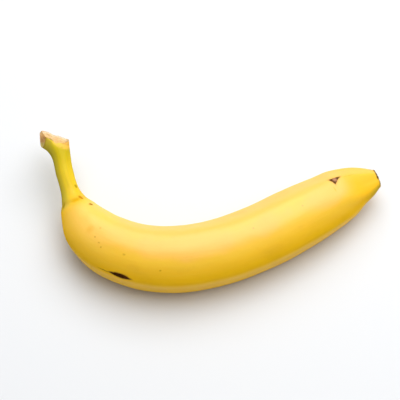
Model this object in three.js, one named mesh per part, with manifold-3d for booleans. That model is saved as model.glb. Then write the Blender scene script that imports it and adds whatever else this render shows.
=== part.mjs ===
// A ripe banana: one finger cut from its hand, lying on its side.
// Millimetres, +Z up. +X runs from the stalk to the blossom end, +Y to the inside of the bend.
// The origin is on the surface that the fruit lies on, under the middle of its box.

import * as THREE from "three";
import { mergeVertices } from "three/addons/utils/BufferGeometryUtils.js";
import Module from "manifold-3d";

// Driving dimensions: cross sections along the fruit's middle line.
// at: place of the middle in plan; lift: height of the underside; wide, tall: half sizes of the section;
// edge: how sharply its ridges show.
const SECTIONS = [
  { at: [-77.9, 37.2], lift: 20.9, wide: 10.4, tall: 6.3, edge: 5 }, // past the crown's cuts
  { at: [-76.5, 31.9], lift: 20.0, wide: 8.5, tall: 6.0, edge: 5 }, // crown
  { at: [-74.9, 28.1], lift: 19.6, wide: 6.3, tall: 5.4, edge: 5 }, // flare of the crown
  { at: [-73.2, 24.0], lift: 19.3, wide: 5.05, tall: 4.9, edge: 6 }, // top of the stalk
  { at: [-70.75, 13.9], lift: 17.0, wide: 4.4, tall: 4.6, edge: 7 }, // stalk
  { at: [-66.2, 0.4], lift: 12.6, wide: 5.7, tall: 5.4, edge: 7 }, // crease of the neck
  { at: [-63.4, -6.1], lift: 6.5, wide: 9.3, tall: 10.2, edge: 7 }, // shoulder
  { at: [-59.4, -13.1], lift: 2.2, wide: 12.4, tall: 13.3, edge: 7 },
  { at: [-51.9, -21.3], lift: 0.2, wide: 14.6, tall: 15.1, edge: 7 },
  { at: [-36.1, -29.6], lift: -0.15, wide: 15.6, tall: 16.0, edge: 8 },
  { at: [-14.0, -32.9], lift: -0.15, wide: 16.3, tall: 16.4, edge: 8 }, // fullest part
  { at: [8.3, -29.4], lift: -0.15, wide: 16.3, tall: 16.4, edge: 8 },
  { at: [29.5, -21.4], lift: -0.15, wide: 16.2, tall: 16.2, edge: 8 },
  { at: [50.0, -10.4], lift: -0.15, wide: 15.8, tall: 15.7, edge: 9 },
  { at: [65.1, -1.3], lift: -0.1, wide: 14.6, tall: 14.6, edge: 9 }, // start of the taper
  { at: [74.9, 5.1], lift: 0.8, wide: 13.1, tall: 13.0, edge: 9 },
  { at: [81.9, 9.2], lift: 3.6, wide: 10.1, tall: 10.2, edge: 9 },
  { at: [88.4, 11.6], lift: 7.3, wide: 7.2, tall: 7.2, edge: 8 },
  { at: [92.5, 13.0], lift: 10.4, wide: 4.9, tall: 4.8, edge: 7 }, // rim of the blossom end
];
const FACET_FACINGS = [34, 90, 130, 194, 268, 331]; // degrees from the inside of the bend, over the top

// The two cuts that freed the finger: a point on each and the way it faces.
const END_CUT = { point: [-74.4, 31.0, 26.4], facing: [0.34, 0.69, 0.64] };
const SIDE_CUT = { point: [-82.5, 32.0, 26.0], facing: [-0.91, -0.06, 0.41] };

// The dried blossom end: share of the rim's radius, and depth along the fruit from the rim.
const BLOSSOM_STEPS = [
  [0.88, 0.9],
  [0.66, 1.2],
  [0.35, 1.0],
  [0, 1.4],
];

const FRAME_REACH = 4; // distance each way over which a section takes its direction
const RINGS_BETWEEN_SECTIONS = 4;
const SIDES = 44;
const CROWN_CUTTER = 40; // edge of the blocks that cut the crown
const SURFACE_CUTTER = 300; // edge of the block under the fruit
const PEEL_COLOR = 0xf0b92c;

// Cubic through hand-set values, with knots at uneven distances.
function smoothBetween(knots, values, place) {
  const last = knots.length - 1;
  let low = 0;
  while (low < last - 1 && place > knots[low + 1]) low += 1;
  const chordSlope = (index) => (values[index + 1] - values[index]) / (knots[index + 1] - knots[index]);
  const slopeAt = (index) => {
    if (index === 0) return chordSlope(0);
    if (index === last) return chordSlope(last - 1);
    const share = (knots[index] - knots[index - 1]) / (knots[index + 1] - knots[index - 1]);
    return THREE.MathUtils.lerp(chordSlope(index - 1), chordSlope(index), share);
  };
  const span = knots[low + 1] - knots[low];
  const t = (place - knots[low]) / span;
  const rest = 1 - t;
  return (
    values[low] * (1 + 2 * t) * rest * rest +
    values[low + 1] * (3 - 2 * t) * t * t +
    span * t * rest * (slopeAt(low) * rest - slopeAt(low + 1) * t)
  );
}

// Distance of each section along the chords of the middle line.
const middles = SECTIONS.map(({ at, lift, tall }) => new THREE.Vector3(at[0], at[1], lift + tall));
const knots = [0];
for (let index = 1; index < middles.length; index += 1) {
  knots.push(knots[index - 1] + middles[index].distanceTo(middles[index - 1]));
}
const fruitLength = knots[knots.length - 1];

const valuesOf = {
  x: middles.map((point) => point.x),
  y: middles.map((point) => point.y),
  z: middles.map((point) => point.z),
  wide: SECTIONS.map((section) => section.wide),
  tall: SECTIONS.map((section) => section.tall),
  edge: SECTIONS.map((section) => section.edge),
};
const valueAt = (name, place) => smoothBetween(knots, valuesOf[name], place);
const middleAt = (place) =>
  new THREE.Vector3(valueAt("x", place), valueAt("y", place), valueAt("z", place));

// Frame of a section: along the fruit, level to the inside of the bend, and up.
function frameAt(place) {
  const start = middleAt(Math.max(place - FRAME_REACH, 0));
  const end = middleAt(Math.min(place + FRAME_REACH, fruitLength));
  const along = end.sub(start).normalize();
  const inward = new THREE.Vector3(0, 0, 1).cross(along).normalize();
  const upward = along.clone().cross(inward);
  return { along, inward, upward };
}

// Share of the half size at an angle: flat facets that meet in rounded ridges.
function facetShare(angle, edge) {
  let sum = 0;
  for (const facing of FACET_FACINGS) {
    const lean = Math.cos(angle - THREE.MathUtils.degToRad(facing));
    if (lean > 0) sum += lean ** edge;
  }
  return sum ** (-1 / edge);
}

// A straight spindle on the Y axis, one ring for each place along the fruit, closed at both ends.
function makeSpindle() {
  const profile = [new THREE.Vector2(0, 0)];
  for (let index = 0; index < knots.length - 1; index += 1) {
    for (let ring = 0; ring < RINGS_BETWEEN_SECTIONS; ring += 1) {
      const t = ring / RINGS_BETWEEN_SECTIONS;
      profile.push(new THREE.Vector2(1, THREE.MathUtils.lerp(knots[index], knots[index + 1], t)));
    }
  }
  profile.push(new THREE.Vector2(1, fruitLength));
  for (const [share, depth] of BLOSSOM_STEPS) {
    profile.push(new THREE.Vector2(share, fruitLength + depth));
  }
  return new THREE.LatheGeometry(profile, SIDES);
}

// The spindle bent to the fruit's middle line and swollen to its sections.
function bendSpindle(spindle) {
  const position = spindle.getAttribute("position");
  const vertex = new THREE.Vector3();
  for (let index = 0; index < position.count; index += 1) {
    vertex.fromBufferAttribute(position, index);
    const share = Math.hypot(vertex.x, vertex.z);
    const angle = Math.atan2(vertex.x, vertex.z);
    const place = Math.min(vertex.y, fruitLength);
    const beyond = vertex.y - place;
    const { along, inward, upward } = frameAt(place);
    const size = share * facetShare(angle, valueAt("edge", place));
    const bent = middleAt(place)
      .addScaledVector(along, beyond)
      .addScaledVector(inward, size * valueAt("wide", place) * Math.cos(angle))
      .addScaledVector(upward, size * valueAt("tall", place) * Math.sin(angle));
    position.setXYZ(index, bent.x, bent.y, bent.z);
  }
  return spindle;
}

// A block with one face through a point, lying on the side that the face looks to.
function makeCutter(point, facing, size) {
  const direction = new THREE.Vector3(...facing).normalize();
  const turn = new THREE.Quaternion().setFromUnitVectors(new THREE.Vector3(0, 0, 1), direction);
  const block = new THREE.BoxGeometry(size, size, size);
  block.translate(0, 0, size / 2);
  block.applyQuaternion(turn);
  block.translate(...point);
  return block;
}

// Solids for cutting, and back to a geometry.
const wasm = await Module();
wasm.setup();

function solidFrom(geometry) {
  const bare = new THREE.BufferGeometry();
  bare.setAttribute("position", geometry.getAttribute("position"));
  bare.setIndex(geometry.getIndex());
  const merged = mergeVertices(bare, 1e-4);
  const corners = [];
  const index = merged.getIndex().array;
  for (let at = 0; at < index.length; at += 3) {
    const [a, b, c] = index.slice(at, at + 3);
    if (a !== b && b !== c && c !== a) corners.push(a, b, c);
  }
  return new wasm.Manifold(
    new wasm.Mesh({
      numProp: 3,
      vertProperties: new Float32Array(merged.getAttribute("position").array),
      triVerts: new Uint32Array(corners),
    }),
  );
}

function geometryFrom(solid) {
  const mesh = solid.getMesh();
  const geometry = new THREE.BufferGeometry();
  geometry.setAttribute("position", new THREE.BufferAttribute(mesh.vertProperties, 3));
  geometry.setIndex(new THREE.BufferAttribute(mesh.triVerts, 1));
  return geometry;
}

// The finger, cut at the crown and flattened where it lies.
const finger = solidFrom(bendSpindle(makeSpindle()));
const fruit = finger
  .subtract(solidFrom(makeCutter(END_CUT.point, END_CUT.facing, CROWN_CUTTER)))
  .subtract(solidFrom(makeCutter(SIDE_CUT.point, SIDE_CUT.facing, CROWN_CUTTER)))
  .subtract(solidFrom(makeCutter([0, 0, 0], [0, 0, -1], SURFACE_CUTTER)));

const peel = geometryFrom(fruit);
peel.computeBoundingBox();
const center = peel.boundingBox.getCenter(new THREE.Vector3());
peel.translate(-center.x, -center.y, 0);
const shaded = peel.toNonIndexed();
shaded.computeVertexNormals();

const banana = new THREE.Mesh(
  shaded,
  new THREE.MeshStandardMaterial({ color: PEEL_COLOR, roughness: 0.5, metalness: 0 }),
);
banana.name = "banana";

const part = new THREE.Group();
part.name = "part";
part.add(banana);

export default part;
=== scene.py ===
import math

import bmesh
import bpy
from bpy.props import FloatProperty, FloatVectorProperty, IntProperty, PointerProperty
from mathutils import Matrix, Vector, noise


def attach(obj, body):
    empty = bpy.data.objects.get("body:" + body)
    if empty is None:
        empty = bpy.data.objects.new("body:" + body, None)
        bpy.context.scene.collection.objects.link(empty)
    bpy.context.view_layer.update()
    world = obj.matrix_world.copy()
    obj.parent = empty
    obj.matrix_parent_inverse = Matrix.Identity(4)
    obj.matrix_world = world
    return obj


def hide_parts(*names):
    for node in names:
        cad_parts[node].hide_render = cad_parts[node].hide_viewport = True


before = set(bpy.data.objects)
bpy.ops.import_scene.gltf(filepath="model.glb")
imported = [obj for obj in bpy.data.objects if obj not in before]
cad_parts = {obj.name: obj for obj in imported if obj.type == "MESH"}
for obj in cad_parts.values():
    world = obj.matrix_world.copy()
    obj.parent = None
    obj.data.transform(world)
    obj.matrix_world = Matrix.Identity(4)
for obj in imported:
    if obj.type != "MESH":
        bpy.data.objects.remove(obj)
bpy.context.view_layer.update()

bl_info = {
    "name": "Ripe banana",
    "version": (1, 0, 0),
    "blender": (4, 5, 0),
    "location": "View3D > Sidebar > Banana",
    "description": "Builds a ripe banana lying on its side: peel, cut crown, dried blossom end and stage",
    "category": "Add Mesh",
}

MM = 0.001

# Cross sections along the fruit's middle line, in millimetres: x and y of the middle, height of the
# underside, half width across the bend, half height, and how sharply the ridges show.
SECTIONS = [
    (-77.9, 37.2, 20.9, 10.4, 6.3, 5),  # past the crown's cuts
    (-76.5, 31.9, 20.0, 8.5, 6.0, 5),  # crown
    (-74.9, 28.1, 19.6, 6.3, 5.4, 5),  # flare of the crown
    (-73.2, 24.0, 19.3, 5.05, 4.9, 6),  # top of the stalk
    (-70.75, 13.9, 17.0, 4.4, 4.6, 7),  # stalk
    (-66.2, 0.4, 12.6, 5.7, 5.4, 7),  # crease of the neck
    (-63.4, -6.1, 6.5, 9.3, 10.2, 7),  # shoulder
    (-59.4, -13.1, 2.2, 12.4, 13.3, 7),
    (-51.9, -21.3, 0.2, 14.6, 15.1, 7),
    (-36.1, -29.6, -0.15, 15.6, 16.0, 8),
    (-14.0, -32.9, -0.15, 16.3, 16.4, 8),  # fullest part
    (8.3, -29.4, -0.15, 16.3, 16.4, 8),
    (29.5, -21.4, -0.15, 16.2, 16.2, 8),
    (50.0, -10.4, -0.15, 15.8, 15.7, 9),
    (65.1, -1.3, -0.1, 14.6, 14.6, 9),  # start of the taper
    (74.9, 5.1, 0.8, 13.1, 13.0, 9),
    (81.9, 9.2, 3.6, 10.1, 10.2, 9),
    (88.4, 11.6, 7.3, 7.2, 7.2, 8),
    (92.5, 13.0, 10.4, 4.9, 4.8, 7),  # rim of the blossom end
]
WIDE, TALL, EDGE = 3, 4, 5  # columns of the sections
FACET_FACINGS = (34, 90, 130, 194, 268, 331)  # degrees from the inside of the bend, over the top
# Further turn of each facet, in degrees, at places along the fruit in millimetres.
FACET_TURNS = [
    (12, (-26, -8, 0, 0, 0, -28)),
    (20, (0, 0, 0, 0, 0, 0)),
    (50, (0, 0, 0, 0, 0, 0)),
    (70, (0, 2, 6, -4, 0, 0)),
    (100, (0, 2, 6, -4, 0, 0)),
    (144, (4, 7, 8, -4, 0, 0)),
    (171, (5, 8, 10, -4, 0, 0)),
    (199, (6, 8, 16, 0, 0, 0)),
    (208, (12, 16, 35, 4, 0, 0)),
    (216, (15, 22, 55, 10, 0, 0)),
]
OUTLINE_TURN = math.radians(25)  # where the upper outline lies, as the camera sees it
WORN_RIDGE = 0.22  # how much the ridge between the top and the front is worn off
RIDGE_REACH = math.radians(5)  # half width of a sharp ridge, round the fruit
BOX_SHIFT = (-5.138, 5.857, 0)  # brings the middle of the solid's box over the origin
FRAME_REACH = 4.0  # distance each way over which a section takes its direction
SHARP_EDGE = math.radians(38)  # edges that bend more than this are shaded sharp

# Places along the fruit, in millimetres
CROWN_REACH = 30.0  # the cuts touch only this much of the stalk's end
CREASE_PLACE = 42.5  # the crease of the neck
BODY_START = (46, 62)  # from the neck to the full body
NOSE_START = (198 * MM, 212 * MM)  # from the body to the nose, in metres

# Relief of single regions, in millimetres
CORNER_SWELL = 0.9  # inner corner of the crown
FLARE_SWELL = 1.1  # outside of the crown
SHOULDER_DIP = 0.6  # outside of the shoulder
CHIN_SWELL = 0.55  # below the nose
NOSE_PUCKER = 0.12
CRUST_DEPTH = 0.45  # cracks of the blossom end
CUT_GRAIN = 0.12  # roughness of the cut faces
CUT_ROUNDING = 0.4  # the peel's draw-in at a cut
ROUNDING_REACH = 1.1  # how far from the cut it starts

# The end cut's edges: where each sags in x, how deep and over what half width, in millimetres
FRONT_SAG = (-74.9, 1.2, 2.4)
FAR_SAG = (-77.5, 1.1, 3.0)
FRONT_HEIGHT = (25.5, 29.5)  # from the far edge to the front one
SAG_REACH = 5.0  # the sag fades out this far below the cut
CORNER_RISE = Vector((0.0, 1.1, 1.0))  # lift of the inner corner
CORNER_START = (-71.5, -68.3)  # where the lift sets in, in x
CUT_NOTCH = (-77.4, 28.9, 30.2)  # dried notch in the front edge

# The three-cornered scar's corners, in millimetres along the fruit and round it from its middle.
SCAR_CORNERS = [(-3.1, -1.5), (4.3, -0.5), (-1.3, 2.6)]

# The two cuts that freed the finger: a point on each and the way it faces, in millimetres.
END_CUT = ((-74.4, 31.0, 26.4), (0.34, 0.69, 0.64))
SIDE_CUT = ((-82.5, 32.0, 26.0), (-0.91, -0.06, 0.41))

# A cut face: share of its outline and change of height in millimetres, from the rim inwards.
CUT_STEPS = [
    (0.96, 0.03), (0.91, -0.12), (0.84, -0.14), (0.75, -0.04), (0.65, 0), (0.55, 0.03), (0.45, 0),
    (0.35, -0.03), (0.25, 0.02), (0.15, 0),
]

# Places in the fruit's list of materials, after the peel
END_CUT_INDEX, SIDE_CUT_INDEX, BLOSSOM_INDEX = 1, 2, 3

BLOSSOM_CRUST = 0.9  # inside this share of the rim's radius the blossom end is a rough crust
BLOSSOM_DEPTH = 0.85  # the peel ends this far beyond the blossom end's rim, in millimetres

# The dried blossom end: share of the rim's radius and depth beyond the rim in millimetres.
BLOSSOM_STEPS = [
    (0.985, 0.3), (0.95, 0.62), (0.88, 0.9), (0.78, 1.08), (0.66, 1.15), (0.54, 1.0),
    (0.43, 0.9), (0.33, 0.98), (0.24, 1.25), (0.15, 1.4), (0.06, 1.45),
]


def color_setting(name, description, default):
    return FloatVectorProperty(
        name=name, description=description, default=default, subtype="COLOR", min=0, max=1)


def number_setting(name, description, default):
    return FloatProperty(name=name, description=description, default=default)


def length_setting(name, description, default):
    return FloatProperty(name=name, description=description, default=default, unit="LENGTH")


def direction_setting(name, description, default):
    return FloatVectorProperty(name=name, description=description, default=default, subtype="DIRECTION")


class PeelSettings(bpy.types.PropertyGroup):
    sides: IntProperty(
        name="Sides", description="Vertices round the fruit", default=160, min=24)
    rings: IntProperty(
        name="Rings", description="Rings of vertices between two sections", default=22, min=4)
    swell: length_setting("Swell", "Depth of the broad dents and swells", 0.22 * MM)
    ridge: length_setting("Ridge", "Height of the fine ridge between two facets", 0.12 * MM)
    crease: length_setting("Crease", "Depth of the crease at the neck", 0.3 * MM)
    furrow: length_setting("Furrow", "Depth of the furrows on the stalk", 0.2 * MM)
    yellow: color_setting("Yellow", "Ripe peel", (0.96, 0.542, 0.002))
    # Light and Pale are painted light: the peel is painted lighter towards the top and paler on top, as a
    # painted highlight.
    light: color_setting("Light", "Lighter peel beside the top", (0.955, 0.557, 0.010))
    pale: color_setting("Pale", "Paler peel on top", (0.97, 0.522, 0.048))
    stalk: color_setting("Stalk", "Yellow-green of the stalk", (0.80, 0.57, 0.022))
    green: color_setting("Green", "Stalk below the crown", (0.60, 0.46, 0.006))
    # Olive is the stalk's own colour in its streaks and partly painted shade on its outer side.
    olive_and_shade: color_setting("Olive", "Outer side and streaks of the stalk", (0.36, 0.30, 0.03))
    brown: color_setting("Brown", "Freckles and scuffs", (0.28, 0.12, 0.02))
    scar: color_setting("Scar", "Dark dried scar", (0.040, 0.012, 0.002))


class CrownSettings(bpy.types.PropertyGroup):
    cream: color_setting("Cream", "Flesh of the end cut", (0.78, 0.53, 0.25))
    rim: color_setting("Rim", "Pale edge of the peel below the end cut", (0.96, 0.58, 0.09))
    tan: color_setting("Tan", "Dried flesh", (0.62, 0.32, 0.08))
    dried: color_setting("Dried", "Brown of the dried edges", (0.30, 0.13, 0.03))
    blossom: color_setting("Blossom", "Dried blossom end", (0.10, 0.05, 0.010))


class StageSettings(bpy.types.PropertyGroup):
    floor_size: length_setting("Floor size", "Edge of the floor", 6.0)
    floor_color: color_setting("Floor", "Colour of the floor", (0.78, 0.793, 0.811))
    elevation: FloatProperty(
        name="Elevation", description="Camera above the horizon", default=math.radians(65), subtype="ANGLE")
    distance: length_setting("Distance", "Camera to its aim", 0.75)
    focal: number_setting("Focal length", "Lens, in millimetres", 129.8)
    aim: FloatVectorProperty(
        name="Aim", description="Point in the middle of the picture",
        default=(-5.14 * MM, 5.86 * MM, 17 * MM), subtype="TRANSLATION", unit="LENGTH")
    key_facing: direction_setting(
        "Key light", "Direction to the large soft light above and behind", (0.09, 0.34, 0.936))
    key_power: number_setting("Key power", "Watts of the large soft light", 8.4)
    side_facing: direction_setting(
        "Side light", "Direction to the soft light above and to the right", (0.387, 0.206, 0.899))
    side_power: number_setting("Side power", "Watts of the soft light to the right", 3.0)
    low_facing: direction_setting(
        "Low light", "Direction to the low soft light behind", (0, 0.866, 0.5))
    low_power: number_setting("Low power", "Watts of the low soft light", 1.0)
    light_distance: length_setting("Light distance", "Soft lights to the camera's aim", 0.9)
    light_size: length_setting("Light size", "Edge of the soft lights", 1.0)
    surround: number_setting("Surround", "Brightness of the white surroundings", 0.305)


# The fruit's form

def chord_knots(middles):
    knots = [0.0]
    for before, after in zip(middles, middles[1:]):
        knots.append(knots[-1] + (after - before).length)
    return knots


def smooth_between(knots, values, place):
    """Cubic through given values, with knots at uneven distances."""
    last = len(knots) - 1
    low = 0
    while low < last - 1 and place > knots[low + 1]:
        low += 1

    def chord(index):
        return (values[index + 1] - values[index]) / (knots[index + 1] - knots[index])

    def slope(index):
        if index == 0:
            return chord(0)
        if index == last:
            return chord(last - 1)
        share = (knots[index] - knots[index - 1]) / (knots[index + 1] - knots[index - 1])
        return chord(index - 1) * (1 - share) + chord(index) * share

    span = knots[low + 1] - knots[low]
    t = (place - knots[low]) / span
    rest = 1 - t
    ends = values[low] * ((1 + 2 * t) * rest * rest) + values[low + 1] * ((3 - 2 * t) * t * t)
    return ends + (slope(low) * rest - slope(low + 1) * t) * (span * t * rest)


MIDDLES = [Vector((x, y, lift + tall)) for x, y, lift, wide, tall, edge in SECTIONS]
KNOTS = chord_knots(MIDDLES)
FRUIT_LENGTH = KNOTS[-1]


def middle_at(place):
    return smooth_between(KNOTS, MIDDLES, place)


def section_value(column, place):
    return smooth_between(KNOTS, [section[column] for section in SECTIONS], place)


class Ring:
    """One section of the fruit: its middle, directions, half sizes and share of the full radius."""

    def __init__(self, place, share=1.0, beyond=0.0):
        start = middle_at(max(place - FRAME_REACH, 0))
        end = middle_at(min(place + FRAME_REACH, FRUIT_LENGTH))
        self.along = (end - start).normalized()
        self.inward = Vector((0, 0, 1)).cross(self.along).normalized()
        self.upward = self.along.cross(self.inward)
        self.middle = middle_at(place) + self.along * beyond
        self.place = place + beyond
        self.share = share
        self.wide = section_value(WIDE, place)
        self.tall = section_value(TALL, place)
        self.edge = section_value(EDGE, place)
        self.facets = facets_at(place)
        self.worn = WORN_RIDGE * step_between(*BODY_START, place) * (1 - 0.7 * step_between(170, 200, place))
        upper, lower = self.outline_share(OUTLINE_TURN), self.outline_share(OUTLINE_TURN + math.pi)
        self.even, self.swing = (upper + lower) / 2, (upper - lower) / 2

    def outline_share(self, angle):
        """What brings the turned facets back to the solid's outline at an angle."""
        plain = facet_share(angle, self.edge, [math.radians(facing) for facing in FACET_FACINGS])
        return plain / facet_share(angle, self.edge, self.facets, self.worn)

    def size_at(self, angle):
        """Share of the half sizes at an angle."""
        share = facet_share(angle, self.edge, self.facets, self.worn)
        return self.share * share * (self.even + self.swing * math.cos(angle - OUTLINE_TURN))


def fruit_rings(between):
    rings = []
    for low, high in zip(KNOTS, KNOTS[1:]):
        rings += [Ring(low + (high - low) * step / between) for step in range(between)]
    rings.append(Ring(FRUIT_LENGTH))
    rings += [Ring(FRUIT_LENGTH, share, depth) for share, depth in BLOSSOM_STEPS]
    return rings


def facets_at(place):
    """The way each facet faces at a place along the fruit, in radians."""
    low, high = FACET_TURNS[0], FACET_TURNS[-1]
    for before, after in zip(FACET_TURNS, FACET_TURNS[1:]):
        if before[0] <= place:
            low, high = before, after
    share = min(max((place - low[0]) / (high[0] - low[0]), 0.0), 1.0)
    turns = [start + (end - start) * share for start, end in zip(low[1], high[1])]
    return [math.radians(facing + turn) for facing, turn in zip(FACET_FACINGS, turns)]


def facet_share(angle, edge, facets, worn=0.0):
    """Share of the half size at an angle: flat facets that meet in rounded ridges."""
    total = 0.0
    for facing in facets:
        total += max(math.cos(angle - facing), 0.0) ** edge
    total += worn * max(math.cos(angle - (facets[1] + facets[2]) / 2), 0.0) ** (3 * edge)
    return total ** (-1 / edge)


def step_between(low, high, value):
    """Smooth step from 0 to 1."""
    t = min(max((value - low) / (high - low), 0.0), 1.0)
    return t * t * (3 - 2 * t)


def ridge_nearness(angle, facets, place):
    """1 on the sharp ridges, 0 away from them: two on the front and underside, one on top of the nose."""
    nose = step_between(188, 204, place)
    near = 0.0
    for first, weight in ((0, nose), (2, 1.0), (3, 1.0)):
        gap = (angle - (facets[first] + facets[first + 1]) / 2 + math.pi) % (2 * math.pi) - math.pi
        near = max(near, weight * math.exp(-(gap / RIDGE_REACH) ** 2))
    return near


def relief(angle, ring, peel):
    """Height of the peel's own relief over the plain section, in metres."""
    place = ring.place
    round_x, round_y = math.cos(angle), math.sin(angle)
    body = step_between(*BODY_START, place) * (1 - step_between(212, 224, place))
    broad = noise.noise(Vector((round_x * 1.1 + 3, round_y * 1.1, place / 26)))
    small = noise.noise(Vector((round_x * 3.2, round_y * 3.2 + 7, place / 7)))
    height = peel.swell * body * (broad + 0.3 * small)
    height += peel.ridge * body * ridge_nearness(angle, ring.facets, place)

    stalk = (1 - step_between(36, 46, place)) * step_between(9, 18, place)
    furrow = noise.noise(Vector((round_x * 2.6, round_y * 2.6, place / 34 + 11)))
    height += peel.furrow * stalk * furrow

    wave = noise.noise(Vector((round_x * 1.4, round_y * 1.4, 5)))
    crease = CREASE_PLACE + 1.1 * wave
    depth = 0.55 + 0.45 * noise.noise(Vector((round_x * 0.9 + 2, round_y * 0.9, 9)))
    height -= peel.crease * depth * math.exp(-((place - crease) / 1.3) ** 2)
    height += 0.35 * peel.crease * depth * math.exp(-((place - crease - 3.0) / 1.6) ** 2)

    corner = max(math.cos(angle - math.radians(20)), 0.0) ** 4
    height += CORNER_SWELL * MM * corner * (1 - step_between(10, 17, place))
    outside = max(-round_x, 0.0)
    height += FLARE_SWELL * MM * outside ** 4 * math.exp(-((place - 6.5) / 3.2) ** 2)
    height -= SHOULDER_DIP * MM * outside ** 2 * math.exp(-((place - 49.5) / 5) ** 2)

    nose = step_between(207, 223, place)
    pucker = noise.noise(Vector((round_x * 3.4, round_y * 3.4, place / 40)))
    height += NOSE_PUCKER * MM * nose * pucker
    chin = step_between(196, 214, place) * (1 - step_between(220, 224.5, place))
    height += CHIN_SWELL * MM * chin * max(math.cos(angle - math.radians(200)), 0.0) ** 2
    return height


def cut_rounding(point):
    """How far the peel draws in where it meets a crown cut, in metres."""
    gap = min((Vector(cut[0]) - point).dot(Vector(cut[1]).normalized()) for cut in (END_CUT, SIDE_CUT))
    near = 1 - min(max(gap, 0.0), ROUNDING_REACH) / ROUNDING_REACH
    return CUT_ROUNDING * MM * near ** 2


# Meshes

def unit_tube(bm, sides, rings):
    """A tube of radius 1 on the Z axis with evenly spaced rings."""
    bmesh.ops.create_cone(bm, cap_ends=False, segments=sides, radius1=1, radius2=1, depth=1)
    uprights = [edge for edge in bm.edges if abs(edge.verts[0].co.z - edge.verts[1].co.z) > 0.5]
    bmesh.ops.subdivide_edges(bm, edges=uprights, cuts=rings - 2)


def bend_tube(bm, rings, peel):
    """Moves each vertex to its place on the fruit and notes where it would be on a straight one."""
    straight = bm.verts.layers.float_vector.new("straight")
    ridge = bm.verts.layers.float.new("ridge")
    bm.verts.layers.float.new("cut_edge")
    last = len(rings) - 1
    for vert in bm.verts:
        ring = rings[round((vert.co.z + 0.5) * last)]
        angle = math.atan2(vert.co.y, vert.co.x)
        size = ring.size_at(angle)
        level = size * ring.wide * math.cos(angle)
        rise = size * ring.tall * math.sin(angle)
        outward = ring.inward * math.cos(angle) + ring.upward * math.sin(angle)
        lift = relief(angle, ring, peel) * ring.share
        point = ring.middle + ring.inward * level + ring.upward * rise
        if ring.place < CROWN_REACH:
            lift -= cut_rounding(point)
        if ring.share < BLOSSOM_CRUST:
            crust = noise.noise(Vector((level, rise, 3)) * 0.7)
            crust += 0.6 * noise.noise(Vector((level, rise, 8)) * 1.9)
            point -= ring.along * (CRUST_DEPTH * max(crust + 0.25, 0.0))
        vert[straight] = Vector((level, rise, ring.place)) * MM
        vert[ridge] = ridge_nearness(angle, ring.facets, ring.place)
        vert.co = point * MM + outward * lift
        vert.co.z = max(vert.co.z, 0.0)


def cut_crown(bm, cut, material_index):
    """Cuts the stalk's end with a plane and closes it with a slightly sunken, rough face."""
    point, facing = Vector(cut[0]) * MM, Vector(cut[1]).normalized()
    straight = bm.verts.layers.float_vector["straight"]
    edge_share = bm.verts.layers.float["cut_edge"]
    verts = [vert for vert in bm.verts if vert[straight].z < CROWN_REACH * MM]
    near = set(verts)
    edges = [edge for edge in bm.edges if all(vert in near for vert in edge.verts)]
    faces = [face for face in bm.faces if all(vert in near for vert in face.verts)]
    made = bmesh.ops.bisect_plane(
        bm, geom=verts + edges + faces, dist=1e-7, plane_co=point, plane_no=facing, clear_outer=True)
    rim = [item for item in made["geom_cut"] if isinstance(item, bmesh.types.BMEdge)]
    face = bmesh.ops.edgeloop_fill(bm, edges=rim)["faces"][0]
    if face.normal.dot(facing) < 0:
        face.normal_flip()
    face.material_index = material_index
    for vert in face.verts:
        vert[edge_share] = 1.0
    middle = face.calc_center_median()
    inner = [face]
    share = 1.0
    for next_share, depth in CUT_STEPS:
        inner = bmesh.ops.extrude_discrete_faces(bm, faces=inner)["faces"]
        for vert in inner[0].verts:
            rough = noise.noise(vert.co * 900) + 0.6 * noise.noise(vert.co * 2400)
            step = facing * ((depth + rough * CUT_GRAIN) * MM)
            vert.co = middle + (vert.co - middle) * (next_share / share) + step
            vert[edge_share] = next_share
        middle = middle + facing * (depth * MM)
        share = next_share
    for vert in bmesh.ops.poke(bm, faces=inner)["verts"]:
        vert[edge_share] = 0.0


def sink_end_cut(bm):
    """Lets the end cut sag at its front and far edges and lifts its inner corner, with the peel below."""
    point, facing = Vector(END_CUT[0]), Vector(END_CUT[1]).normalized()
    straight = bm.verts.layers.float_vector["straight"]
    for vert in bm.verts:
        place = vert.co / MM
        gap = (point - place).dot(facing)
        if vert[straight].z < CROWN_REACH * MM and gap < SAG_REACH:
            front = step_between(*FRONT_HEIGHT, place.z)
            sag = 0.35 * noise.noise(place * 0.55) + 0.15 * noise.noise(place * 1.6)
            for share, (middle, depth, reach) in ((front, FRONT_SAG), (1 - front, FAR_SAG)):
                sag += depth * share * math.exp(-((place.x - middle) / reach) ** 2)
            fade = (1 - max(gap, 0.0) / SAG_REACH) ** 2 * MM
            vert.co -= facing * (sag * fade)
            vert.co += CORNER_RISE * (step_between(*CORNER_START, place.x) * fade)


def finish_mesh(bm, name, materials):
    bmesh.ops.recalc_face_normals(bm, faces=bm.faces)
    for face in bm.faces:
        face.smooth = True
    for edge in bm.edges:
        if len(edge.link_faces) == 2 and edge.calc_face_angle() > SHARP_EDGE:
            edge.smooth = False
    mesh = bpy.data.meshes.new(name)
    bm.to_mesh(mesh)
    bm.free()
    for material in materials:
        mesh.materials.append(material)
    piece = bpy.data.objects.new(name, mesh)
    bpy.context.scene.collection.objects.link(piece)
    return piece


# Materials

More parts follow.
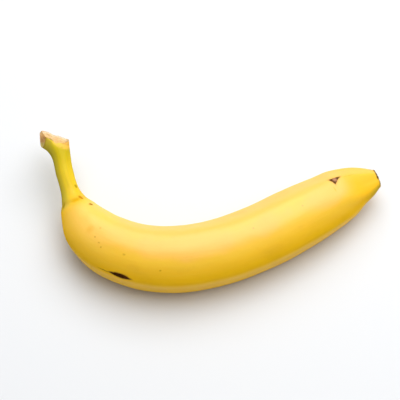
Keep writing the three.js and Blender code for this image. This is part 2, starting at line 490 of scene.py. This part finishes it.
class Finish:
    """A material and short ways to add its nodes."""

    def __init__(self, name):
        self.material = bpy.data.materials.new(name)
        self.material.use_nodes = True
        self.tree = self.material.node_tree
        self.tree.nodes.clear()
        self.shader = self.node("BsdfPrincipled")
        self.node("OutputMaterial", Surface=self.shader.outputs["BSDF"])

    def feed(self, socket, value):
        if isinstance(value, bpy.types.NodeSocket):
            self.tree.links.new(value, socket)
        elif isinstance(value, (int, float)) or len(socket.default_value) == len(value):
            socket.default_value = value
        else:
            socket.default_value = (*value, 1.0)

    def fill(self, node, inputs):
        """Feeds a node's inputs by name, with underscores for spaces."""
        for name, value in inputs.items():
            self.feed(node.inputs[name.replace("_", " ")], value)

    def shade(self, **inputs):
        self.fill(self.shader, inputs)

    def node(self, kind, **inputs):
        node = self.tree.nodes.new("ShaderNode" + kind)
        self.fill(node, inputs)
        return node

    def attribute(self, name, output="Vector"):
        node = self.node("Attribute")
        node.attribute_name = name
        return node.outputs[output]

    def object_place(self):
        return self.node("TexCoord").outputs["Object"]

    def parts(self, vector):
        return tuple(self.node("SeparateXYZ", Vector=vector).outputs)

    def math(self, operation, a, b=0.0, c=0.0):
        node = self.node("Math")
        node.operation = operation
        for socket, value in zip(node.inputs, (a, b, c)):
            self.feed(socket, value)
        return node.outputs[0]

    def times(self, first, *others):
        """Product of all the values."""
        for value in others:
            first = self.math("MULTIPLY", first, value)
        return first

    def rest(self, share):
        """What a share leaves of the whole."""
        return self.math("SUBTRACT", 1.0, share)

    def swayed(self, value, texture, reach):
        """A value moved to and fro by a texture about its middle grey."""
        return self.math("MULTIPLY_ADD", self.math("SUBTRACT", texture, 0.5), reach, value)

    def length(self, x, y):
        return self.math("SQRT", self.math("MULTIPLY_ADD", x, x, self.times(y, y)))

    def vector(self, operation, a, b=(0.0, 0.0, 0.0)):
        node = self.node("VectorMath")
        node.operation = operation
        self.feed(node.inputs[0], a)
        self.feed(node.inputs[1], b)
        return node.outputs["Value" if operation in ("DOT_PRODUCT", "LENGTH") else "Vector"]

    def placed(self, vector, location, rotation, scale):
        node = self.node("Mapping", Vector=vector, Location=location, Rotation=rotation, Scale=scale)
        node.vector_type = "TEXTURE"
        return node.outputs[0]

    def noise(self, vector, scale, detail=3.0, rough=0.5, distortion=0.0, output="Fac"):
        node = self.node(
            "TexNoise", Vector=vector, Scale=scale, Detail=detail, Roughness=rough, Distortion=distortion)
        return node.outputs[output]

    def cells(self, vector, scale):
        node = self.node("TexVoronoi", Vector=vector, Scale=scale)
        return node.outputs["Distance"], node.outputs["Color"]

    def span(self, value, low, high, to_low=0.0, to_high=1.0):
        """Smooth change from one value to another while the input goes from low to high."""
        node = self.node(
            "MapRange", Value=value, From_Min=low, From_Max=high, To_Min=to_low, To_Max=to_high)
        node.interpolation_type = "SMOOTHSTEP"
        return node.outputs["Result"]

    def mix(self, factor, a, b):
        node = self.node("Mix")
        node.data_type = "RGBA"
        for index, value in ((0, factor), (6, a), (7, b)):
            self.feed(node.inputs[index], value)
        return node.outputs[2]

    def paint(self, color, tone, value, low, high, strength=1.0):
        """Paints a tone over a colour while the value goes from low to high."""
        return self.mix(self.span(value, low, high, 0.0, strength), color, tone)

    def bump(self, height, distance):
        self.shade(Normal=self.node("Bump", Height=height, Distance=distance).outputs["Normal"])

    def plane_gap(self, cut, center):
        """Distance behind a crown cut, in metres."""
        facing = Vector(cut[1]).normalized()
        away = self.vector("SUBTRACT", self.object_place(), Vector(cut[0]) * MM + center)
        return self.times(self.vector("DOT_PRODUCT", away, facing), -1.0)

    def surface(self, color, roughness, specular):
        """Sets a surface's colour, roughness and plain reflection."""
        self.shade(Base_Color=color, Roughness=roughness, Specular_IOR_Level=specular)


def on_straight(place, angle):
    """Where a spot sits on the straight fruit, in metres, and its turn round it."""
    turn = math.radians(angle)
    size = facet_share(turn, section_value(EDGE, place), facets_at(place))
    level = size * section_value(WIDE, place) * math.cos(turn)
    rise = size * section_value(TALL, place) * math.sin(turn)
    return Vector((level, rise, place)) * MM, turn


# Marks on the peel: place along the fruit, degrees round it, half size round it and along it in
# millimetres, colour, strength and how soft the edge is.
MARKS = [
    (5.6, 116.0, 1.3, 0.9, (0.10, 0.07, 0.012), 0.85, 0.9),  # dried notch in the crown's front edge
    (43.0, 146.0, 1.3, 2.1, (0.26, 0.18, 0.006), 0.70, 1.0),  # notch at the outer end of the crease
    (42.4, 58.0, 1.2, 1.9, (0.52, 0.20, 0.003), 0.95, 0.8),  # brown patch at its inner end
    (42.9, 82.0, 3.6, 1.7, (0.70, 0.36, 0.002), 0.75, 1.1),  # stain between them
    (34.6, 38.0, 1.2, 1.3, (0.30, 0.20, 0.005), 0.80, 0.9),  # speck on the stalk
    (49.0, 50.5, 1.5, 1.15, (0.26, 0.10, 0.004), 0.95, 0.8),  # speck below the crease and its halo
    (49.4, 55.0, 1.4, 1.0, (0.70, 0.40, 0.05), 0.40, 1.0),
    (64.0, 102.5, 3.0, 2.4, (0.78, 0.40, 0.03), 0.40, 1.1),  # bruise on the shoulder
    (68.0, 88.0, 0.6, 0.7, (0.52, 0.21, 0.006), 0.40, 0.9),  # freckles on the shoulder and the front
    (68.5, 109.0, 0.6, 0.6, (0.46, 0.18, 0.005), 0.45, 0.9),
    (71.6, 114.5, 0.5, 0.7, (0.46, 0.18, 0.005), 0.45, 0.9),
    (73.4, 120.5, 0.6, 0.5, (0.42, 0.16, 0.004), 0.50, 0.9),
    (84.6, 117.0, 0.6, 0.9, (0.46, 0.18, 0.005), 0.45, 0.9),
    (101.4, 135.0, 0.6, 0.6, (0.42, 0.16, 0.004), 0.50, 0.9),
    (77.5, 162.5, 0.5, 3.4, (0.30, 0.14, 0.004), 0.75, 0.9),  # tail of the lens-shaped scar
    (196.3, 92.0, 1.7, 0.5, (0.80, 0.40, 0.01), 0.55, 1.0),  # streak below the three-cornered scar
    (208.6, 74.3, 0.3, 4.0, (0.55, 0.30, 0.02), 0.45, 1.0),  # scuffed ridge behind the nose
    (222.9, 15.0, 1.0, 0.7, (0.20, 0.14, 0.05), 0.80, 0.8),  # dried flecks by the blossom end
    (222.2, 24.0, 0.6, 0.5, (0.25, 0.18, 0.06), 0.70, 0.8),
]
MARK_EDGE = 1.2  # where a mark's colour ends, in its half sizes
MARK_DEPTH = -4.0  # marks end this far under the peel, so the far side of the fruit has none
FAR_AWAY = 100.0

# Scars: place along the fruit and degrees round it; half size round the fruit and along it, in millimetres.
LENS_SCAR = (84.4, 161.5, 1.6, 5.1)
LENS_LEAN = -2  # degrees
CORNER_SCAR = (199.6, 72.6, 1.0, 1.0)

# Tones of the peel's regions
# Painted highlight along the inner side of the bend
INSIDE_PAINTED_HIGHLIGHT = (0.97, 0.535, 0.072)
MOTTLING = (0.80, 0.42, 0.010)
PALE_FIBRE = (0.97, 0.64, 0.08)
GOLDEN = (0.80, 0.435, 0.001)
# Painted light and painted shade of the shoulder
SHOULDER_PAINTED_LIGHT = (0.98, 0.58, 0.085)
SHOULDER_PAINTED_SHADE = (0.80, 0.47, 0.012)
STALK_BASE = (0.86, 0.50, 0.004)
NOSE_YELLOW = (0.95, 0.522, 0.008)
# Green of the nose's outer side, partly its own colour and partly painted shade
NOSE_GREEN_AND_SHADE = (0.42, 0.33, 0.03)
RIM_TAN = (0.36, 0.25, 0.06)
# Painted shade in the crease of the neck
CREASE_PAINTED_SHADE = (0.66, 0.36, 0.008)
LENS_EDGE = (0.42, 0.17, 0.02)
LENS_BROWN = (0.10, 0.035, 0.008)
CORNER_HALO = (0.55, 0.26, 0.03)
CORNER_DARK = (0.105, 0.042, 0.012)
CORNER_PINK = (0.46, 0.22, 0.12)
SIDE_EDGE_OLIVE = (0.58, 0.44, 0.05)
DRIED_TIP = (0.46, 0.27, 0.08)


class PeelFinish(Finish):
    """The peel's material. Each region paints over the colour that it is given."""

    def __init__(self, peel, crown, center):
        super().__init__("banana_peel")
        self.peel, self.crown, self.center = peel, crown, center
        self.straight = self.attribute("straight")
        self.ridge = self.attribute("ridge", "Fac")
        level, self.rise, self.place = self.parts(self.straight)
        radius = self.length(level, self.rise)
        self.outer = self.math("DIVIDE", self.times(level, -1.0), radius)  # 1 on the outside of the bend
        self.height_share = self.math("DIVIDE", self.rise, radius)  # 1 on top
        self.lengthwise = self.vector("MULTIPLY", self.straight, (1.0, 1.0, 0.05))

        self.broad = self.noise(self.straight, 30, 3, 0.55)
        self.mottle = self.noise(self.straight, 210, 4, 0.6)
        self.fibre = self.noise(self.lengthwise, 1100, 3, 0.6)
        self.fine = self.noise(self.straight, 2600, 2, 0.5)
        self.ragged = self.noise(self.straight, 900, 3, 0.6)
        shake = self.noise(self.straight, 700, 3, 0.6, output="Color")
        shake = self.vector("SUBTRACT", shake, (0.5,) * 3)
        shake = self.vector("MULTIPLY", shake, (0.9 * MM,) * 3)
        self.shaken = self.vector("ADD", self.straight, shake)

        self.stalk_place = self.swayed(self.place, self.broad, 8 * MM)
        self.stalk = self.span(self.stalk_place, 45.5 * MM, 40.5 * MM)
        self.dry = 0.0  # grows with each dried mark

    def add_dry(self, area):
        self.dry = self.math("MAXIMUM", self.dry, area)

    def spot(self, place, angle, around, along, lean=0.0):
        """Coordinates on the peel about a spot, 1 at its edges: round the fruit and along it."""
        location, turn = on_straight(place, angle)
        scale = Vector((1.0, around, along)) * MM
        local = self.placed(self.shaken, location, (math.radians(lean), 0, turn), scale)
        depth, across, up = self.parts(local)
        far_side = self.math("LESS_THAN", depth, MARK_DEPTH)
        return self.math("MULTIPLY_ADD", far_side, FAR_AWAY, across), up

    def ripe_tones(self):
        """Ripe yellow with painted light: lighter and paler towards the top, and paler along the inner side
        as a painted highlight; dull mottling, pale fibres and golden patches.
        """
        peel = self.peel
        painted_light_share = self.swayed(self.height_share, self.broad, 0.5)
        # Painted light: lighter and then paler towards the top, standing in for the highlight.
        color = self.paint(peel.yellow, peel.light, painted_light_share, 0.64, 0.82)
        color = self.paint(color, peel.pale, painted_light_share, 0.84, 1.00)
        # Painted highlight along the inner side of the bend.
        inside = self.times(self.span(self.outer, -0.15, -0.45), self.span(self.place, 60 * MM, 80 * MM),
                            self.span(self.height_share, 0.10, 0.40))
        color = self.mix(inside, color, INSIDE_PAINTED_HIGHLIGHT)
        color = self.paint(color, MOTTLING, self.mottle, 0.5, 0.8, 0.16)
        color = self.paint(color, PALE_FIBRE, self.fibre, 0.55, 0.8, 0.14)
        patches = self.span(self.noise(self.straight, 75, 3, 0.55), 0.48, 0.72)
        golden = self.times(patches, self.span(self.height_share, 0.95, 0.6, 0.0, 0.32))
        color = self.mix(golden, color, GOLDEN)
        scuff = self.span(self.noise(self.lengthwise, 260, 4, 0.65), 0.5, 0.75)
        return self.mix(self.times(self.ridge, scuff, 0.15), color, peel.brown)

    def shoulder_tones(self, color):
        """Painted light on top of the shoulder and painted shade on its outside."""
        shoulder = self.times(self.span(self.place, 43 * MM, 50 * MM),
                              self.span(self.place, 85 * MM, 60 * MM))
        # Painted light on top, painted shade on the outside.
        light = self.times(shoulder, self.span(self.outer, 0.9, 0.3, 0.0, 0.7))
        shade = self.times(shoulder, self.span(self.outer, 0.5, 0.95, 0.0, 0.5))
        return self.mix(shade, self.mix(light, color, SHOULDER_PAINTED_LIGHT), SHOULDER_PAINTED_SHADE)

    def stalk_tones(self, color):
        """Yellow-green towards the crown, olive streaks, olive on the outer side that is partly the stalk's
        own colour and partly painted shade, golden at the base.
        """
        peel = self.peel
        color = self.mix(self.stalk, color, peel.stalk)
        color = self.paint(color, peel.green, self.stalk_place, 30 * MM, 13 * MM)
        # Olive on the outer side: partly the stalk's own colour, partly painted shade.
        outer = self.times(self.stalk, self.span(self.outer, 0.25, 0.95, 0.0, 0.75))
        color = self.mix(outer, color, peel.olive_and_shade)
        streak = self.span(self.noise(self.lengthwise, 420, 3, 0.6), 0.45, 0.75, 0.0, 0.22)
        color = self.mix(self.times(self.stalk, streak), color, peel.olive_and_shade)
        base = self.times(self.span(self.stalk_place, 30 * MM, 40 * MM),
                          self.span(self.stalk_place, 46 * MM, 42 * MM),
                          self.span(self.outer, 0.6, 0.1, 0.0, 0.6))
        return self.mix(base, color, STALK_BASE)

    def nose_tones(self, color):
        """Deeper yellow, greenish on the outer side, partly its own green and partly painted shade, dried
        along the rim.
        """
        end = FRUIT_LENGTH * MM
        color = self.paint(color, NOSE_YELLOW, self.place, *NOSE_START, 0.85)
        # Green along the nose's lower edge: partly its own colour, partly painted shade.
        green = self.span(self.swayed(self.place, self.mottle, 6 * MM), end - 12 * MM, end - 1 * MM)
        green = self.times(green, self.span(self.outer, 0.72, 0.98, 0.0, 0.6))
        color = self.mix(green, color, NOSE_GREEN_AND_SHADE)
        rim = self.span(self.swayed(self.place, self.ragged, 1.6 * MM), end - 0.2 * MM, end + 0.5 * MM)
        top = self.times(self.span(self.outer, 0.55, 0.3), self.span(self.rise, -1 * MM, 1 * MM))
        self.add_dry(rim)
        rim = self.times(rim, self.span(top, 0.0, 1.0, 0.55, 0.97))
        return self.mix(rim, color, self.mix(top, RIM_TAN, self.crown.blossom))

    def crease_tones(self, color):
        """Painted shade along the crease of the neck."""
        place = self.swayed(self.place, self.mottle, 4 * MM)
        before = self.span(place, (CREASE_PLACE - 3.5) * MM, CREASE_PLACE * MM)
        after = self.span(place, (CREASE_PLACE + 1.6) * MM, CREASE_PLACE * MM)
        return self.mix(self.times(before, after, 0.4), color, CREASE_PAINTED_SHADE)

    def freckles(self, color):
        """Small freckles all over."""
        near, random = self.cells(self.straight, 240)
        pick, growth, _ = self.parts(random)
        dot = self.math("LESS_THAN", near, self.span(growth, 0.0, 1.0, 0.05, 0.12))
        return self.mix(self.times(self.span(pick, 0.86, 0.9), dot, 0.3), color, self.peel.brown)

    def marks(self, color):
        """The marks that are set one by one."""
        for place, angle, around, along, tone, strength, soft in MARKS:
            away = self.length(*self.spot(place, angle, around, along))
            cover = self.span(away, MARK_EDGE, MARK_EDGE - soft, 0.0, strength)
            color = self.mix(cover, color, tone)
            self.add_dry(cover)
        return color

    def lens_scar(self, color):
        """Dark lens-shaped scar on the front ridge, blunter at one end."""
        across, up = self.spot(*LENS_SCAR, lean=LENS_LEAN)
        taper = self.math("MAXIMUM", self.math("MULTIPLY_ADD", up, 0.3, 1.0), 0.4)
        lens = self.math("MULTIPLY_ADD", up, up, self.math("DIVIDE", self.math("ABSOLUTE", across), taper))
        color = self.paint(color, LENS_EDGE, lens, 1.5, 0.95, 0.6)
        self.lens = self.span(lens, 1.06, 0.74)
        self.add_dry(self.lens)
        dark = self.paint(self.peel.scar, LENS_BROWN, self.ragged, 0.35, 0.7)
        return self.mix(self.lens, color, dark)

    def corner_scar(self, color):
        """Three-cornered scar near the nose: dark arms, pink-brown middle."""
        across, up = self.spot(*CORNER_SCAR)
        beyond = None
        for (ax, ay), (bx, by) in zip(SCAR_CORNERS, SCAR_CORNERS[1:] + SCAR_CORNERS[:1]):
            out = Vector((by - ay, ax - bx)).normalized()
            side = self.math("MULTIPLY_ADD", up, out.x, -out.x * ax - out.y * ay)
            side = self.math("MULTIPLY_ADD", across, out.y, side)
            beyond = side if beyond is None else self.math("MAXIMUM", beyond, side)
        color = self.paint(color, CORNER_HALO, beyond, 1.1, 0.1, 0.35)
        self.triangle = self.span(beyond, 0.35, -0.35)
        self.add_dry(self.triangle)
        away = self.length(self.math("ADD", up, -0.2), self.math("ADD", across, -0.3))
        middle = self.span(self.swayed(away, self.ragged, 1.6), 1.7, 0.5)
        return self.mix(self.triangle, color, self.mix(middle, CORNER_DARK, CORNER_PINK))

    def crown_edges(self, color):
        """Pale roll below the end cut, dried edges along both cuts and a dried tip between them."""
        crown = self.crown
        past = self.math("GREATER_THAN", self.place, CROWN_REACH * MM)
        waver = self.swayed(past, self.ragged, 1.4 * MM)
        end_gap = self.math("ADD", self.plane_gap(END_CUT, self.center), waver)
        side_gap = self.math("ADD", self.plane_gap(SIDE_CUT, self.center), waver)
        roll = self.span(end_gap, 3.0 * MM, 1.0 * MM, 0.0, 0.85)
        color = self.mix(self.times(roll, self.span(self.outer, 0.45, 0.1, 0.1, 1.0)), color, crown.rim)
        color = self.paint(color, SIDE_EDGE_OLIVE, side_gap, 4.0 * MM, 0.8 * MM, 0.45)
        tip = self.times(self.span(end_gap, 5.5 * MM, 2.5 * MM), self.span(side_gap, 5.5 * MM, 2.5 * MM),
                         self.span(self.rise, 0.0, -3 * MM, 0.0, 0.8))
        color = self.mix(tip, color, self.paint(crown.dried, DRIED_TIP, self.ragged, 0.35, 0.7))
        color = self.paint(color, crown.tan, end_gap, 0.6 * MM, 0.1 * MM, 0.6)
        return self.paint(color, crown.dried, side_gap, 0.7 * MM, 0.1 * MM, 0.5)

    def gloss(self, color):
        """A waxy coat over the colour, duller on the stalk, the front, under the nose and on dried marks."""
        dull_front = self.times(self.span(self.height_share, 0.85, 0.35, 0.0, 0.88),
                                self.span(self.outer, -0.2, 0.2))
        underside = self.span(self.height_share, 0.34, 0.0, 0.0, 0.75)
        shine = self.math("MAXIMUM", self.rest(dull_front), underside)
        lower_nose = self.times(self.span(self.place, *NOSE_START),
                                self.span(self.outer, -0.35, 0.05, 0.0, 0.5))
        body = self.span(self.place, 30 * MM, 54 * MM, 0.12, 0.85)
        rough = self.math("ADD", self.span(self.mottle, 0.2, 0.8, 0.34, 0.44),
                          self.span(self.fibre, 0.3, 0.8, 0.0, 0.05))
        worn = self.math("MAXIMUM", self.dry, self.times(self.stalk, 0.5))
        coat = self.times(body, self.rest(self.dry), shine, self.rest(lower_nose))
        self.surface(color, self.math("MULTIPLY_ADD", worn, 0.3, rough), 0.0)
        self.shade(Coat_Weight=coat, Coat_Roughness=0.45, Coat_IOR=1.8)
        self.shade(Subsurface_Weight=0.1, Subsurface_Radius=(1.0, 0.5, 0.1), Subsurface_Scale=2 * MM)

    def grain(self):
        """Fine relief of the fibres and the mottling, with the scars sunk in."""
        height = 0.0
        for texture, share in ((self.fibre, 0.5), (self.mottle, 0.9), (self.fine, 0.12), (self.lens, -1.2),
                               (self.triangle, -0.8)):
            height = self.math("MULTIPLY_ADD", texture, share, height)
        self.bump(height, 0.12 * MM)


def peel_finish(peel, crown, center):
    finish = PeelFinish(peel, crown, center)
    color = finish.ripe_tones()
    for region in (finish.shoulder_tones, finish.stalk_tones, finish.nose_tones, finish.crease_tones,
                   finish.freckles, finish.marks, finish.lens_scar, finish.corner_scar, finish.crown_edges):
        color = region(color)
    finish.gloss(color)
    finish.grain()
    return finish.material


# Tones of the crown's cuts
FRONT_FLESH = (0.74, 0.39, 0.05)
BROWN_PATCH = (0.55, 0.30, 0.10)
BROWN_STREAK = (0.60, 0.33, 0.12)
PALE_GRAIN = (0.86, 0.64, 0.36)
PALE_RIM = (0.84, 0.70, 0.50)
GREY_CORNER = (0.36, 0.28, 0.17)
NOTCH_BROWN = (0.16, 0.09, 0.02)
# Painted highlight at the top of the torn face
TORN_PAINTED_HIGHLIGHT = (0.90, 0.58, 0.24)
TORN_ORANGE = (0.80, 0.42, 0.12)
TORN_BROWN = (0.50, 0.25, 0.07)
TORN_OLIVE = (0.60, 0.48, 0.13)
TORN_GRAIN = (0.90, 0.62, 0.30)
TORN_EDGE = (0.42, 0.22, 0.06)

ACROSS_END_CUT = (0.0, 0.68, -0.733)  # on the end cut, from its front edge to its far one
UP_SIDE_CUT = (0.0, 0.906, 0.423)  # up the side cut, as the camera sees it


def end_cut_finish(crown, center):
    """Cream flesh with brown streaks and patches, vessel dots, a dried brown edge and a grey corner."""
    finish = Finish("crown_end_cut")
    place = finish.object_place()
    local = finish.vector("SUBTRACT", place, center)
    patch = finish.noise(place, 260, 4, 0.6)
    grain = finish.noise(place, 1500, 3, 0.6)
    streak = finish.noise(finish.vector("MULTIPLY", local, (0.22, 1.0, 1.0)), 900, 4, 0.65)
    near = finish.cells(place, 900)[0]
    edge = finish.swayed(finish.attribute("cut_edge", "Fac"), patch, 0.14)
    far = finish.vector("DOT_PRODUCT", local, ACROSS_END_CUT)
    color = finish.paint(crown.cream, FRONT_FLESH, far, 3 * MM, -6 * MM)
    color = finish.paint(color, BROWN_PATCH, patch, 0.5, 0.72, 0.6)
    color = finish.paint(color, BROWN_STREAK, streak, 0.52, 0.68, 0.7)
    color = finish.paint(color, PALE_GRAIN, grain, 0.5, 0.75, 0.2)
    color = finish.paint(color, crown.tan, near, 0.25, 0.1, 0.35)
    pale = finish.times(finish.span(edge, 0.72, 0.84), finish.span(edge, 0.97, 0.9, 0.0, 0.6),
                        finish.span(far, 0.0, 5 * MM))
    color = finish.mix(pale, color, PALE_RIM)
    color = finish.paint(color, crown.tan, edge, 0.93, 0.985, 0.85)
    corner = finish.span(finish.parts(local)[0], -70.5 * MM, -67.5 * MM, 0.0, 0.7)
    color = finish.mix(corner, color, GREY_CORNER)
    notch = finish.vector("LENGTH", finish.vector("SUBTRACT", local, Vector(CUT_NOTCH) * MM))
    notch = finish.swayed(notch, grain, 1.2 * MM)
    color = finish.paint(color, NOTCH_BROWN, notch, 2.4 * MM, 0.9 * MM, 0.9)
    finish.surface(color, finish.span(patch, 0.2, 0.8, 0.65, 0.85), 0.25)
    finish.shade(Subsurface_Weight=0.1, Subsurface_Scale=2 * MM)
    height = finish.math("MULTIPLY_ADD", streak, 0.8, grain)
    finish.bump(finish.math("MULTIPLY_ADD", near, 0.5, height), 0.3 * MM)
    return finish.material


def side_cut_finish(center):
    """Torn flesh with a painted highlight at its top, orange below it and dried brown towards its lower end,
    the orange and brown partly painted shade.
    """
    finish = Finish("crown_side_cut")
    place = finish.object_place()
    patch = finish.noise(place, 320, 4, 0.6)
    grain = finish.noise(place, 1500, 3, 0.6)
    height = finish.vector("DOT_PRODUCT", finish.vector("SUBTRACT", place, center), UP_SIDE_CUT)
    height = finish.swayed(height, patch, 3 * MM)
    # Painted highlight at the top; the orange and brown below are partly the dried flesh and partly painted
    # shade.
    color = finish.paint(TORN_PAINTED_HIGHLIGHT, TORN_ORANGE, height, 43.0 * MM, 40.0 * MM)
    color = finish.paint(color, TORN_BROWN, height, 41.0 * MM, 38.5 * MM, 0.85)
    color = finish.paint(color, TORN_OLIVE, height, 38.0 * MM, 36.6 * MM, 0.9)
    color = finish.paint(color, TORN_GRAIN, grain, 0.5, 0.75, 0.4)
    edge = finish.swayed(finish.attribute("cut_edge", "Fac"), patch, 0.1)
    color = finish.paint(color, TORN_EDGE, edge, 0.9, 0.98, 0.5)
    finish.surface(color, finish.span(patch, 0.2, 0.8, 0.65, 0.85), 0.25)
    finish.bump(grain, 0.3 * MM)
    return finish.material


# Tones of the dried blossom end
CRUST_PALE = (0.20, 0.105, 0.03)
CRUST_MIDDLE = (0.022, 0.012, 0.006)
CRUST_GREY = (0.19, 0.14, 0.06)
CRUST_CRACK = (0.018, 0.010, 0.005)


def blossom_finish(crown):
    """Dried crust: dark in its middle and in the cracks, paler brown patches, greyish towards the peel."""
    finish = Finish("dried_blossom")
    straight = finish.attribute("straight")
    level, rise, _ = finish.parts(straight)
    patch = finish.noise(straight, 420, 4, 0.65)
    grain = finish.noise(straight, 1500, 4, 0.65, 0.6)
    away = finish.swayed(finish.length(level, rise), patch, 3 * MM)
    color = finish.paint(crown.blossom, CRUST_PALE, patch, 0.45, 0.7, 0.8)
    color = finish.paint(color, CRUST_MIDDLE, away, 2.4 * MM, 1.2 * MM, 0.85)
    color = finish.paint(color, CRUST_GREY, away, 3.2 * MM, 4.2 * MM, 0.6)
    color = finish.paint(color, CRUST_CRACK, grain, 0.48, 0.66, 0.75)
    finish.surface(color, finish.span(grain, 0.2, 0.8, 0.7, 0.95), 0.2)
    finish.bump(finish.math("MULTIPLY_ADD", grain, -0.8, patch), 0.6 * MM)
    return finish.material


def floor_finish(stage):
    finish = Finish("studio_floor")
    tone = finish.noise(finish.object_place(), 3, 2, 0.5)
    pale = tuple(min(channel * 1.01, 1.0) for channel in stage.floor_color)
    finish.surface(finish.mix(tone, stage.floor_color, pale), 0.9, 0.0)
    return finish.material


# Operators

class MakePeel(bpy.types.Operator):
    """Build the whole fruit: peel, cut crown and dried blossom end in one closed mesh"""

    bl_idname = "banana.make_peel"
    bl_label = "Make Peel"

    def execute(self, context):
        peel, crown = context.scene.banana_peel, context.scene.banana_crown
        rings = fruit_rings(peel.rings)
        bm = bmesh.new()
        unit_tube(bm, peel.sides, len(rings))
        bend_tube(bm, rings, peel)
        straight = bm.verts.layers.float_vector["straight"]
        halfway = FRUIT_LENGTH * MM / 2
        for is_end in (lambda place: place > halfway, lambda place: place < halfway):
            loop = [edge for edge in bm.edges if edge.is_boundary and is_end(edge.verts[0][straight].z)]
            closing = bmesh.ops.edgeloop_fill(bm, edges=loop)["faces"]
            bmesh.ops.poke(bm, faces=closing)
        for face in bm.faces:
            if min(vert[straight].z for vert in face.verts) > (FRUIT_LENGTH + BLOSSOM_DEPTH) * MM:
                face.material_index = BLOSSOM_INDEX
        cut_crown(bm, END_CUT, END_CUT_INDEX)
        cut_crown(bm, SIDE_CUT, SIDE_CUT_INDEX)
        sink_end_cut(bm)

        center = Vector(BOX_SHIFT) * MM
        bmesh.ops.translate(bm, verts=bm.verts, vec=center)

        finishes = [  # in the order of the material indices
            peel_finish(peel, crown, center),
            end_cut_finish(crown, center),
            side_cut_finish(center),
            blossom_finish(crown),
        ]
        piece = finish_mesh(bm, "banana_fruit", finishes)
        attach(piece, "root")
        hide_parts("banana")
        return {"FINISHED"}


class MakeStage(bpy.types.Operator):
    """Lay the floor, set the lights and place the camera"""

    bl_idname = "banana.make_stage"
    bl_label = "Make Stage"

    def execute(self, context):
        scene, stage = context.scene, context.scene.banana_stage
        bm = bmesh.new()
        bmesh.ops.create_grid(bm, x_segments=1, y_segments=1, size=stage.floor_size / 2)
        floor = finish_mesh(bm, "floor", [floor_finish(stage)])

        aim = Vector(stage.aim)
        for name in ("key", "side", "low"):
            light = bpy.data.lights.new(name + "_light", "AREA")
            light.shape = "SQUARE"
            light.size = stage.light_size
            light.energy = getattr(stage, name + "_power")
            lamp = bpy.data.objects.new(light.name, light)
            facing = Vector(getattr(stage, name + "_facing")).normalized()
            lamp.location = aim + facing * stage.light_distance
            lamp.rotation_euler = facing.to_track_quat("Z", "Y").to_euler()
            scene.collection.objects.link(lamp)

        world = bpy.data.worlds.new("white_surround")
        world.use_nodes = True
        background = world.node_tree.nodes["Background"]
        background.inputs["Color"].default_value = (1, 1, 1, 1)
        background.inputs["Strength"].default_value = stage.surround
        scene.world = world

        lens = bpy.data.cameras.new("camera")
        lens.sensor_width = 36
        lens.lens = stage.focal
        camera = bpy.data.objects.new("camera", lens)
        view = Vector((0, -math.cos(stage.elevation), math.sin(stage.elevation)))
        camera.location = aim + view * stage.distance
        camera.rotation_euler = view.to_track_quat("Z", "Y").to_euler()
        scene.collection.objects.link(camera)
        scene.camera = camera
        scene.view_settings.view_transform = "Standard"
        return {"FINISHED"}


class BananaPanel(bpy.types.Panel):
    """Sizes, colours and build steps of the banana"""

    bl_idname = "VIEW3D_PT_banana"
    bl_label = "Banana"
    bl_space_type = "VIEW_3D"
    bl_region_type = "UI"
    bl_category = "Banana"

    def draw(self, context):
        for name in GROUPS:
            box = self.layout.box()
            group = getattr(context.scene, name)
            for key in group.__annotations__:
                box.prop(group, key)
        for operator in (MakePeel, MakeStage):
            self.layout.operator(operator.bl_idname)


GROUPS = {"banana_peel": PeelSettings, "banana_crown": CrownSettings, "banana_stage": StageSettings}
CLASSES = (*GROUPS.values(), MakePeel, MakeStage, BananaPanel)


def register():
    for cls in CLASSES:
        bpy.utils.register_class(cls)
    for name, group in GROUPS.items():
        setattr(bpy.types.Scene, name, PointerProperty(type=group))


def unregister():
    for name in GROUPS:
        delattr(bpy.types.Scene, name)
    for cls in reversed(CLASSES):
        bpy.utils.unregister_class(cls)


def main():
    register()
    bpy.ops.banana.make_peel()
    bpy.ops.banana.make_stage()


if __name__ == "__main__":
    main()
